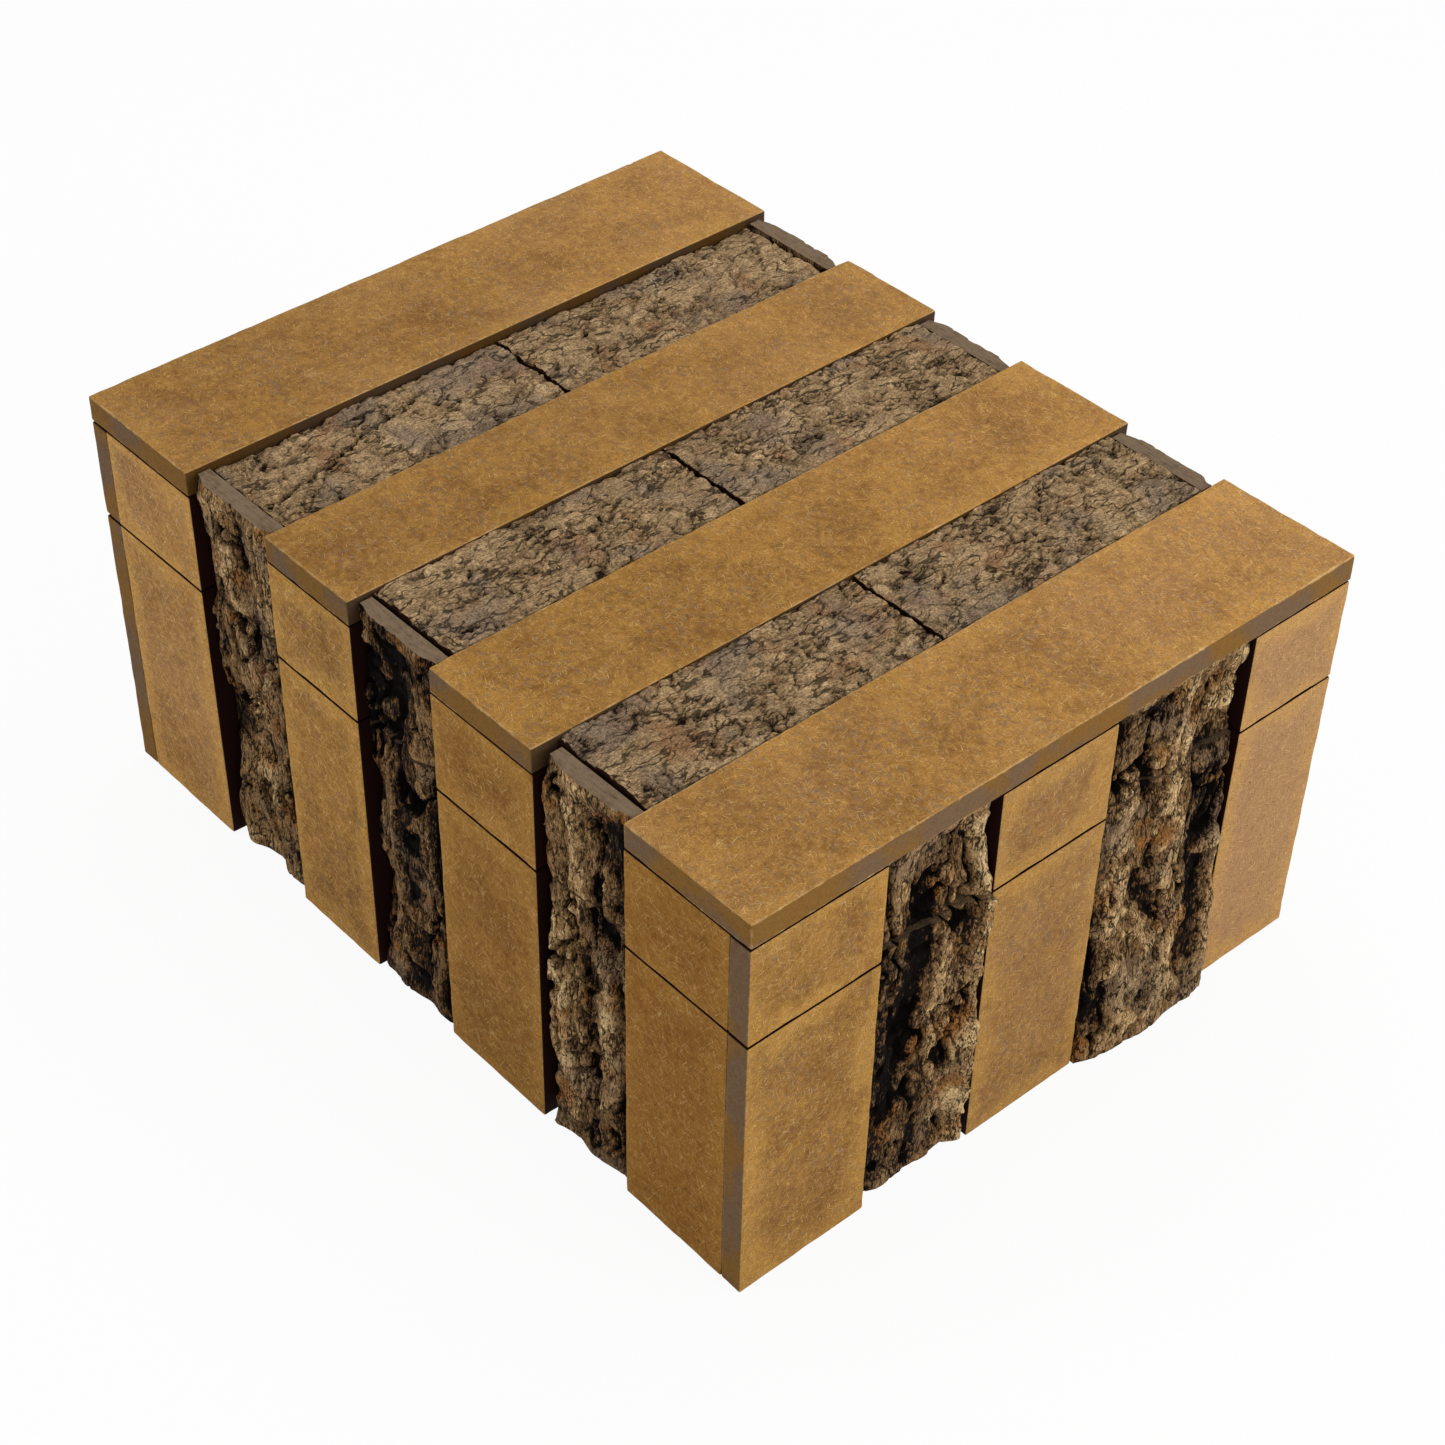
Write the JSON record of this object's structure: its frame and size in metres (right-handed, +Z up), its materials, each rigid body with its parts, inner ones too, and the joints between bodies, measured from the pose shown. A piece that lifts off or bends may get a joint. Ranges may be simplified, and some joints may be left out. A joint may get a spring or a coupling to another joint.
{
  "type": "hinged keepsake box",
  "caption": "Oblong lidded box of stained fibreboard strips with rough tree bark set between them, sawn open round its upper third and hinged at the back.",
  "frame": {"origin": "middle of the box's underside, between its outer fibreboard faces, on the surface it stands on", "axes": "+Z up, +X along the long front towards the right end, +Y from the front to the hinged back"},
  "size_m": [0.2175, 0.1643, 0.1],
  "materials": {
    "fibreboard": "satin stain",
    "carcass": "dark red-brown stain",
    "bark": "rough",
    "brass": "dull"
  },
  "bodies": {
    "base": {"base_back_bark_1": "bark", "base_back_bark_2": "bark", "base_back_bark_3": "bark", "base_back_panel_1": "fibreboard", "base_back_panel_2": "fibreboard", "base_back_panel_3": "fibreboard", "base_back_panel_4": "fibreboard", "base_back_wall": "carcass", "base_bottom": "carcass", "base_front_bark_1": "bark", "base_front_bark_2": "bark", "base_front_bark_3": "bark", "base_front_panel_1": "fibreboard", "base_front_panel_2": "fibreboard", "base_front_panel_3": "fibreboard", "base_front_panel_4": "fibreboard", "base_front_wall": "carcass", "base_left_bark_1": "bark", "base_left_bark_2": "bark", "base_left_panel_1": "fibreboard", "base_left_panel_2": "fibreboard", "base_left_panel_3": "fibreboard", "base_left_wall": "carcass", "base_right_bark_1": "bark", "base_right_bark_2": "bark", "base_right_panel_1": "fibreboard", "base_right_panel_2": "fibreboard", "base_right_panel_3": "fibreboard", "base_right_wall": "carcass", "hinge_base_leaves": "brass", "hinge_base_screws": "brass", "hinge_pins": "brass"},
    "lid": {"hinge_lid_leaves": "brass", "hinge_lid_screws": "brass", "lid_back_bark": "bark", "lid_back_panels": "fibreboard", "lid_back_rail": "carcass", "lid_front_bark": "bark", "lid_front_panels": "fibreboard", "lid_front_rail": "carcass", "lid_left_bark": "bark", "lid_left_panels": "fibreboard", "lid_left_rail": "carcass", "lid_right_bark": "bark", "lid_right_panels": "fibreboard", "lid_right_rail": "carcass", "lid_top_panel": "carcass", "top_bark_1_front": "bark", "top_bark_1_rear": "bark", "top_bark_2_front": "bark", "top_bark_2_rear": "bark", "top_bark_3_front": "bark", "top_bark_3_rear": "bark", "top_board_1": "fibreboard", "top_board_2": "fibreboard", "top_board_3": "fibreboard", "top_board_4": "fibreboard"}
  },
  "joints": [
    {"name": "lid_hinge", "type": "hinge", "parent": "base", "child": "lid", "pos_m": [0, 0.0823, 0.0694], "axis": [-1, 0, 0], "range_deg": [0, 180]}
  ]
}
